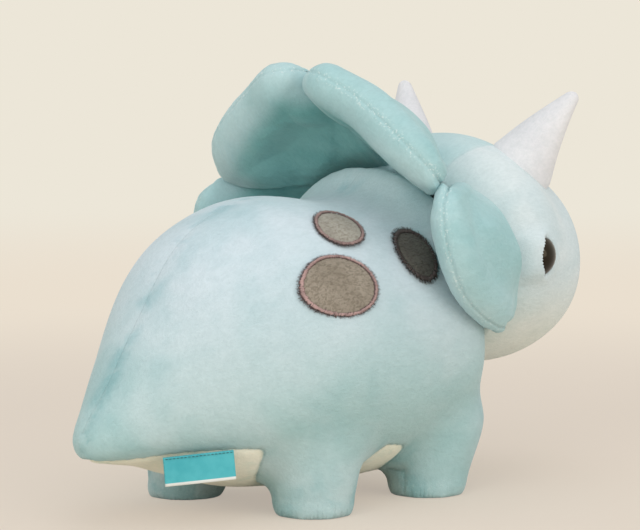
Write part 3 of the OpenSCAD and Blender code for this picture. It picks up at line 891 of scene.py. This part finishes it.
def packed(low, high, count, dense, spread):
    """Rising values from low to high, five times closer near the given places."""
    fine = np.linspace(low, high, 4000)
    density = np.ones(4000)
    for place in dense:
        density += 4 * bell(fine - place, spread)
    total = np.cumsum(density)
    return np.interp(np.linspace(total[0], total[-1], count), total, fine)


def eye_puff(points, side):
    """Height of the cover round one eye: sunk under it, swollen over its rear edge like a lid."""
    away = points * (side, 1, 1) - EYE_AT
    fore, up, out = (away @ axis for axis in (EYE_FORE, EYE_UP, EYE_OUT))
    gap = np.hypot(fore, up)
    edge = -5.0 + 0.05 * up ** 2 + 0.25 * np.sin(up * 4.1) + 0.2 * np.sin(up * 7.7 + 1)
    soft = 0.5 + 0.9 * np.maximum(np.abs(up) - 8, 0)
    over = ease(edge + soft, edge - soft, fore)
    lid = 5.6 * np.exp(-(up / 12.5) ** 4) * bell(np.maximum(-7 - fore, 0), 12)
    rim = 1.2 * bell(gap - 12, 4) - 2.0 * ease(10.4, 8.6, gap)
    return mix(rim, lid, over) * bell(out, 25)


def make_head():
    turn = packed(-180.0, 180.0, 301, (-EYE_TURN, EYE_TURN), 9.0)[:-1]
    limit = neck_angle(turn)
    share = packed(0.0, 1.0, 200, (EYE_ANGLE / neck_angle(np.array([EYE_TURN]))[0],), 0.07)[1:]
    angles = [limit * s for s in share]
    loops = [head_at(a, turn) for a in angles]
    rim = loops[-1]
    towards = unit(NECK + HALF_CREASE * NECK_OUT - rim)
    loops.append(rim + 3.0 * towards - 0.8 * NECK_OUT)
    loops.append(rim + 6.0 * towards + 2.0 * NECK_OUT)
    points, faces = loft(head_at(0.0, 0.0), loops, NECK + (HALF_CREASE + 10) * NECK_OUT)
    keep = 1 + len(loops) * len(turn)
    where = np.concatenate([[0.0], np.ravel(angles), np.tile(limit, 2)])
    side_turn = np.concatenate([[0.0], np.tile(np.abs(turn), len(loops))])
    across = (side_turn - CROWN_SEAM) * np.pi / 180 * CROWN_R * np.sin(np.radians(where))
    crown = ease(1.5, -1.5, across) * ease(52, 70, where)
    seam = np.abs(across) + np.maximum(84 - where, 0)

    def held(place):
        ends = ease(10, 2, (place - NECK) @ NECK_OUT)
        eyes = [np.linalg.norm(place - EYE_AT * (side, 1, 1), axis=1) for _, side in SIDES]
        return np.clip(ends + sum(np.exp(-(gap / 16) ** 4) for gap in eyes), 0, 1)

    points = stuffed(points, faces, held, 5.0, 1.5)
    faces = [f for f in faces if max(f) < keep]
    piece = new_piece("head_cover_skin", points[:keep], faces)
    mesh = piece.data
    points = points_of(mesh)
    normals = normals_of(mesh)
    lift = 0.6 * lumps(points, 60.0, 5) + eye_puff(points, 1) + eye_puff(points, -1)
    lift -= 0.3 * bell(seam, 1.5) + 0.8 * bell(seam, 7.0)
    set_points(mesh, points + normals * lift[:, None])
    # Painted light: paler towards the front of the face.
    face = ease(-45, -95, points[:, 1])
    # Painted bounce light from the floor, warmer low on the head.
    chin = ease(120, 70, points[:, 2])
    set_values(mesh, face=face, chin=chin, crown=crown, seam=seam)
    dress(piece, "head", "head")
    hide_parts("head_cover", "head_fill")


def make_neck_filling():
    turn = full_turn(48)
    loops = []
    for tilt in np.linspace(0.08, np.pi - 0.08, 30):
        ring = np.sin(tilt) * (np.cos(turn)[:, None] * SIDEWAYS + np.sin(turn)[:, None] * NECK_UP)
        loops.append(NECK + NECK_FILL_R * (ring + math.cos(tilt) * NECK_OUT))
    reach = NECK_FILL_R * NECK_OUT
    piece = new_piece("neck_filling", *loft(NECK + reach, loops, NECK - reach))
    points = points_of(piece.data)
    set_points(piece.data, points + unit(points - NECK) * (0.6 * lumps(points, 16.0, 11) - 0.8)[:, None])
    dress(piece, "filling", "neck")
    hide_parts("neck_fill")


# Horns.

HORN_TIP_R = 3.2
# Shares of a horn's length: how deep it stands in the head, and where its tip begins to round.
HORN_ROOT = 0.16
HORN_ROUND = 0.94


def make_horn(name, angle, turn, way, length, width, bow):
    foot = head_at(float(angle), float(turn))
    way = unit(np.array(way, float))
    across = unit(np.cross(way, SIDEWAYS))
    beside = np.cross(across, way)
    around = full_turn(56)
    ring = np.cos(around)[:, None] * across + np.sin(around)[:, None] * beside
    loops = []
    seams = []
    rounding = 1.0 - 0.06 * np.linspace(0.8, 0, 6) ** 2
    for t in np.concatenate([np.linspace(-HORN_ROOT, HORN_ROUND, 44), rounding]):
        r = mix(HORN_TIP_R, width / 2, (1 - max(t, 0.0)) ** 1.05)
        if t > HORN_ROUND:
            r *= math.sqrt(max(1 - ((t - HORN_ROUND) / 0.062) ** 2, 0.02))
        middle = foot + length * t * way + bow * math.sin(math.pi * max(t, 0)) * across
        seam = np.abs(around - np.pi) * r
        pinch = 0.35 * bell(seam, 1.3)
        ripple = 0.25 * np.sin(around * 5 + 9 * t) * math.exp(-(t / 0.25) ** 2)
        loops.append(middle + (r - pinch + ripple)[:, None] * ring)
        seams.append(seam)
    root = foot - HORN_ROOT * length * way
    piece = new_piece(name + "_skin", *loft(root, loops, foot + 1.005 * length * way))
    set_values(piece.data, seam=np.concatenate([[20.0], np.ravel(seams), [20.0]]))
    dress(piece, "horn", "head")
    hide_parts(name)


# Frill lobes: stuffed pads with a fat rim and a sewn edge.

def rolled(gap, wide, tall):
    return tall * np.sqrt(1 - (1 - np.clip(gap / wide, 0, 1)) ** 2)


def wrinkles(along, seed):
    """Uneven gathers along a seam, about -1 to 1."""
    pick = np.random.default_rng(seed)
    total = np.zeros_like(along)
    for wave in (4.6, 6.1, 8.3, 11.9, 17.0):
        total += pick.uniform(0.5, 1.0) * np.sin(along * 2 * np.pi / wave + pick.uniform(0, 6.28))
    return total / 2.6


def evened(grid, steps):
    """Smooths a grid of directions along its rows."""
    for _ in range(steps):
        wide = np.concatenate([grid[:, :1], grid, grid[:, -1:]], axis=1)
        grid = unit(wide[:, :-2] + 2 * wide[:, 1:-1] + wide[:, 2:])
    return grid


LOBE_ROWS = 96
LOBE_COLUMNS = 120


def make_lobe(name, root, rim, side, seed, back, front, tucks, meets):
    """One pad: back and front skins over its middle surface, sewn together round its edge."""
    s = np.linspace(0, 1, LOBE_ROWS)
    k = np.linspace(0, 1, LOBE_COLUMNS)
    outwards = mix(1 - (1 - s) ** 1.7, 0.5 - 0.5 * np.cos(np.pi * s), 0.35)
    sideways = mix(k, 0.5 - 0.5 * np.cos(np.pi * k), 0.8)
    q, w = np.meshgrid(outwards, sideways, indexing="ij")
    flat = lobe_flat(root, rim, q, w)
    normal = evened(lobe_normal(root, rim, q, w), 40)
    fine = np.linspace(0, 1, 3000)
    edges = {"rim": (1.0, fine), "first": (fine, 0.0), "last": (fine, 1.0), "root": (0.0, fine)}
    lines = {key: lobe_flat(root, rim, *place) for key, place in edges.items()}
    gaps = {}
    edge = np.zeros_like(flat)
    seam = np.full(q.shape, 1e6)
    for key, line in lines.items():
        index, gap = nearest(tree_of(line), flat.reshape(-1, 3))
        gaps[key] = gap.reshape(q.shape)
        on_line = {"rim": q == 1, "first": w == 0, "last": w == 1, "root": q == 0}[key]
        gaps[key][on_line] = 0
        if key != "root":
            closer = gaps[key] < seam
            edge[closer] = line[index].reshape(flat.shape)[closer]
            seam = np.minimum(seam, gaps[key])
    outward = edge - flat
    outward = unit(outward - (outward * normal).sum(-1, keepdims=True) * normal)
    along = np.linalg.norm(np.diff(flat, axis=1, prepend=flat[:, :1]), axis=2).cumsum(1)
    gather = wrinkles(along, seed)
    ramp = ease(0.05, 0.5, q)
    shift = ramp * sum(t * bell(gaps[key], 12.0) for key, t in zip(("first", "last"), tucks))
    grow = np.minimum(1, 0.5 + 2.4 * q) * rolled(gaps["root"], 5.0, 1.0)
    parts = []
    seam_gaps = []
    for face, (crest, middle) in ((1, front), (-1, back)):
        height = rolled(gaps["rim"], 13.5, crest) + (middle - crest) * ease(13, 40, gaps["rim"])
        for key in ("first", "last"):
            wide, tall = (5.0, 11.0) if key == "last" and face < 0 else (8.0, 10.0)
            edge_height = rolled(gaps[key], wide, tall) + 0.6 * np.maximum(gaps[key] - wide, 0)
            height = np.maximum(soft_least(height, edge_height, 3.0), 0)
        height = np.where(seam == 0, 0, height * grow)
        pinch = 0.35 - 0.85 * bell(height, 0.8)
        spread = pinch * bell(seam, 8.0) * np.minimum(1, 5 * q)
        if face < 0:
            spread = spread + 2.6 * bell(gaps[meets], 7) * ease(0.5, 4, height)
        crimp = 0.6 * gather * np.exp(-np.hypot(seam, height) / 7) * ease(0, 2, height)
        skin = flat + normal * (shift + face * (height + crimp))[..., None] + outward * spread[..., None]
        uneven = lumps(skin.reshape(-1, 3), 42.0, seed + face).reshape(q.shape)
        uneven = 0.7 * uneven * np.clip(height / 9, 0, 1)
        skin = (skin + normal * uneven[..., None]).reshape(-1, 3) * (side, 1, 1)
        parts.append((skin, sheet_faces(LOBE_ROWS, LOBE_COLUMNS, face * side > 0)))
        seam_gaps.append(np.hypot(seam, height).ravel())
    points, faces = joined(parts)
    piece = new_piece(name + "_pad", points, faces)
    # Painted shade on the back skin's inner panel, away from its rim and first edge; none on the front
    # skin.
    inner = ease(6, 20, np.minimum(gaps["rim"], gaps["first"] + 13)).ravel()
    set_values(piece.data, seam=np.concatenate(seam_gaps), inner=np.concatenate([0 * inner, inner]))
    baked(piece, "WELD", merge_threshold=0.25 * MM)
    mesh = piece.data
    points = points_of(mesh)
    sewn_tree = tree_of(np.vstack([lines[key] for key in ("rim", "first", "last")]) * (side, 1, 1))
    root_tree = tree_of(lines["root"] * (side, 1, 1))

    def held(place):
        sewn_gap = nearest(sewn_tree, place)[1]
        root_gap = nearest(root_tree, place)[1]
        return np.clip(bell(sewn_gap, 4) + ease(16, 6, root_gap), 0, 1)

    set_points(mesh, stuffed(points, faces_of(mesh), held, 4.0, 1.5))
    dress(piece, "frill", name)
    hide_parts(name)
    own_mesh(piece)


# Spots: napped patches with a satin-stitched edge.

def spot_point(spot, r, turn, lift):
    u, b, _, narrow, tilt = spot
    along = np.linalg.norm(body_point(u + 0.1, b) - body_point(u - 0.1, b)) / 0.2
    around = np.linalg.norm(body_point(u, b + 2) - body_point(u, b - 2)) / 4
    x = r * np.cos(turn)
    y = r * np.sin(turn) * narrow
    c, s = math.cos(math.radians(tilt)), math.sin(math.radians(tilt))
    return body_point(u + (x * c - y * s) / along, b + (x * s + y * c) / around, -lift)


def spot_thread(spot, reach, turn, lift, side, radius, corners):
    path = np.stack([spot_point(spot, *place) for place in zip(reach, turn, lift)])
    return tube(path * (side, 1, 1), radius, corners)


def make_spot(name, kind, side):
    spot = SPOTS[kind]
    turn = full_turn(96)
    edge = spot[2] / 2 - STITCH_W * 0.5
    shares = np.linspace(0.06, 1, 16)
    loops = [spot_point(spot, edge * k, turn, 1.1 + 0.9 * (1 - k ** 4)) * (side, 1, 1) for k in shares]
    points, faces = disc(spot_point(spot, 0, 0.0, 2.0) * (side, 1, 1), loops)
    patch = new_piece(name, points, faces, inside=(0, points[0][1], 70))
    dress(patch, f"{kind} felt", "torso")
    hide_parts(name)
    threads = []
    count = int(spot[2] * np.pi * 0.9 / STITCH_PITCH)
    for i in range(count):
        a = 2 * np.pi * (i + chance.uniform(-0.25, 0.25)) / count
        inner = spot[2] / 2 - STITCH_W * chance.uniform(0.9, 1.25)
        outer = spot[2] / 2 + chance.uniform(-0.2, 0.5)
        slant = chance.normal(0, 0.35) / spot[2]
        reach = np.linspace(inner, outer, 5)
        lift = 0.9 + 1.0 * np.sin(np.linspace(0.15, np.pi - 0.1, 5)) + chance.uniform(-0.1, 0.15)
        bend = a + slant * (np.arange(5) - 2)
        threads.append(spot_thread(spot, reach, bend, lift, side, STITCH_R, 5))
    hairs = 3 * count
    for a in chance.uniform(0, 2 * np.pi, hairs):
        reach = spot[2] / 2 + np.array([-0.4, chance.uniform(0.7, 1.9)])
        bend = a + np.array([0.0, chance.normal(0, 1.2) / spot[2]])
        lift = (1.2, chance.uniform(0.9, 1.8))
        threads.append(spot_thread(spot, reach, bend, lift, side, HAIR_R, 3))
    stitch_name = name.replace("spot", "stitch")
    border = new_piece(stitch_name, *joined(threads))
    # Painted shade: each stitch is dark at its ends, and the loose hairs are dark all over.
    ends = np.concatenate([[1.0], np.repeat([1.0, 0.5, 0.0, 0.4, 1.0], 5), [1.0]])
    set_values(border.data, end=np.concatenate([np.tile(ends, count), np.ones(8 * hairs)]))
    dress(border, f"{kind} thread", "torso")
    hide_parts(stitch_name)


# Label: one ribbon folded into a loop, blank on both sides.

def make_label():
    def seam_at(u, lift):
        return body_point(u, 180 + belly_half(u), -lift)

    way = unit(seam_at(LABEL_RING + 0.2, 0.0) - seam_at(LABEL_RING - 0.2, 0.0))
    top = seam_at(LABEL_RING, 1.35)
    out = unit(np.cross(way, UPWARDS))
    if out[0] > 0:
        out = -out
    down = unit(np.cross(way, out))
    if down[2] > 0:
        down = -down
    drop = np.linspace(1.6, LABEL_L - 1, 22)
    bend = np.linspace(0, np.pi, 9)[1:-1]
    gap = LABEL_HALF_GAP
    front = [(gap, d) for d in drop]
    fold = [(gap * math.cos(b), LABEL_L - 1 + gap * 1.3 * math.sin(b)) for b in bend]
    rear = [(-gap, d) for d in drop[::-1]]
    profile = front + fold + rear
    across = np.linspace(-LABEL_W / 2, LABEL_W / 2, 44)
    rows = []
    edges = []
    for offset, d in profile:
        curl = 0.9 * (d / LABEL_L) ** 2 * np.sin(across / LABEL_W * 2.6 + 0.6)
        rows.append(top + across[:, None] * way + (offset + curl)[:, None] * out + d * down)
        edges.append(np.full(len(across), LABEL_L + gap * 0.3 - d))
    points = np.vstack(rows)
    piece = new_piece("label_ribbon", points, sheet_faces(len(profile), len(across)))
    set_values(piece.data, edge=np.ravel(edges))
    baked(piece, "SOLIDIFY", thickness=0.35 * MM, offset=0.0)
    dress(piece, "ribbon", "label")
    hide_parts("label")
    threads = []
    for x in np.arange(-LABEL_W / 2 + 0.8, LABEL_W / 2 - 0.5, 1.9):
        start = top + x * way + 1.25 * out + 2.4 * down
        path = [start, start + 0.65 * way + 0.12 * out, start + 1.3 * way]
        threads.append(tube(path, 0.22, 5))
    seam = new_piece("label_stitches", *joined(threads))
    dress(seam, "label thread", "label")


# The whole toy.

make_body()
for end_name, end in (("front", 1), ("rear", -1)):
    for side_name, side in SIDES:
        make_sole(f"sole_{end_name}_{side_name}", side, end)
make_head()
make_neck_filling()
make_horn("brow_horn_left", 69, 40, (21, -22, 42), 53.0, 38.0, -2.0)
make_horn("brow_horn_right", 66, -42, (-20.8, -20, 38), 49.0, 38.0, 1.5)
make_horn("nose_horn", 20, 0, (0, -14, 18), 22.0, 24.0, -1.0)
for side_name, side in SIDES:
    fold = 3.0 if side > 0 else -2.0
    upper_rim = UPPER_RIM + FULLER if side > 0 else UPPER_RIM
    make_lobe(f"frill_upper_{side_name}", UPPER_ROOT, upper_rim, side, 20 + side, back=(12.5, 4.5),
              front=(12.5, 17.0), tucks=(fold, -1.5), meets="last")
    make_lobe(f"frill_lower_{side_name}", LOWER_ROOT, LOWER_RIM, side, 40 + side, back=(10.0, 1.5),
              front=(12.0, 20.0), tucks=(1.5, 0.0), meets="first")
    for kind in SPOTS:
        make_spot(f"spot_{kind}_{side_name}", kind, side)
    for part in ("eye", "washer"):
        paint(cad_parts[f"{part}_{side_name}"], part)
make_label()


# Floor, light and camera.

BACKDROP = tones("#e2d7ca", "#eadfcf", "#ece6d8")


def backdrop_rays(tree):
    """1 for rays from the camera, and for those sent on by a glossy or clear surface."""
    path = add_node(tree, "ShaderNodeLightPath").outputs
    seen = path["Is Camera Ray"]
    for kind in ("Is Glossy Ray", "Is Transmission Ray"):
        seen = add_node(tree, "ShaderNodeMath", {0: seen, 1: path[kind]}, operation="MAXIMUM").outputs[0]
    return seen


def make_floor():
    loops = [r * flat_ring(96) for r in (300.0, 800.0, 2000.0, 6000.0, 14000.0)]
    piece = new_piece("floor", *disc((0, 0, 0), loops), inside=(0, 0, -100))
    s = Shader("floor paper")
    far = s.add("ShaderNodeVectorMath", {0: s.place}, operation="LENGTH").outputs["Value"]
    # Painted shade round the toy: the floor is darker near it and lightens towards the backdrop's tone
    # far off.
    colour = s.blend(s.between(far, 0.35, 1.2), BACKDROP[0], BACKDROP[1])
    colour = s.blend(s.between(far, 1.2, 3.0), colour, BACKDROP[2])
    grain = s.noise(180.0, 3.0)
    s.set(Base_Color=s.blend(s.times(grain, 0.05), colour, tone("#d9cdbf")), Roughness=0.9)
    s.set(Specular_IOR_Level=0.1)
    glow = s.add("ShaderNodeEmission", {"Color": colour, "Strength": 1.0}).outputs[0]
    near = s.math("ADD", s.times(s.between(far, 0.30, 1.1), 0.45), 0.55)
    share = s.times(near, backdrop_rays(s.tree))
    both = s.add("ShaderNodeMixShader", {0: share, 1: s.surface.outputs[0], 2: glow})
    s.tree.links.new(both.outputs[0], s.tree.nodes["Material Output"].inputs["Surface"])
    piece.data.materials.append(s.material)


def make_world():
    world = bpy.data.worlds.new("studio")
    scene.world = world
    world.use_nodes = True
    tree = world.node_tree
    tree.nodes.clear()
    light = add_node(tree, "ShaderNodeBackground", {"Color": (1.0, 0.985, 0.96, 1), "Strength": 0.62})
    shown = add_node(tree, "ShaderNodeBackground", {"Color": BACKDROP[2], "Strength": 1.0})
    both = add_node(tree, "ShaderNodeMixShader",
                    {0: backdrop_rays(tree), 1: light.outputs[0], 2: shown.outputs[0]})
    add_node(tree, "ShaderNodeOutputWorld", {"Surface": both.outputs[0]})


def make_lamp(name, place, aim, size, power, colour):
    data = bpy.data.lights.new(name, "AREA")
    data.shape = "DISK"
    data.size = size
    data.energy = power
    data.color = colour
    lamp = bpy.data.objects.new(name, data)
    lamp.location = place
    lamp.rotation_euler = (Vector(aim) - Vector(place)).to_track_quat("-Z", "Y").to_euler()
    scene.collection.objects.link(lamp)


CAMERA_AT = (-0.9368, 1.0534, 0.225)
# The photo's width and focal length in its pixels, and how far off the toy's middle the camera aims.
PHOTO_W = 640.0
PHOTO_FOCAL = 2660.0
AIM_ASIDE = 14.5
AIM_BELOW = 9.8
CAMERA_PITCH = 4.0


def make_camera():
    data = bpy.data.cameras.new("photo camera")
    data.sensor_fit = "HORIZONTAL"
    data.sensor_width = 36.0
    data.lens = PHOTO_FOCAL / PHOTO_W * data.sensor_width
    data.clip_end = 50.0
    camera = bpy.data.objects.new("photo camera", data)
    place = Vector(CAMERA_AT)
    aside = Vector((0.0, FOOT_Y * MM, 0.0)) - place
    yaw = math.atan2(aside.y, aside.x) - math.atan(AIM_ASIDE / PHOTO_FOCAL)
    pitch = -math.radians(CAMERA_PITCH) - math.atan(AIM_BELOW / PHOTO_FOCAL)
    ahead = Vector((math.cos(yaw) * math.cos(pitch), math.sin(yaw) * math.cos(pitch), math.sin(pitch)))
    camera.rotation_euler = ahead.to_track_quat("-Z", "Y").to_euler()
    camera.location = place
    scene.collection.objects.link(camera)
    scene.camera = camera


make_floor()
make_world()
make_lamp("key", (-1.2, 1.0, 1.6), (0, 0, 0.1), 1.5, 7.5, (1.0, 0.99, 0.97))
make_lamp("rear", (-0.4, 1.7, 0.8), (0, 0, 0.12), 1.2, 8.0, (1.0, 0.99, 0.975))
make_lamp("top", (0.0, -0.3, 2.2), (0, 0, 0.1), 1.8, 7.0, (1.0, 0.99, 0.98))
make_lamp("side", (-1.7, -0.1, 0.4), (0, -0.05, 0.08), 1.2, 6.5, (1.0, 0.985, 0.96))
make_camera()
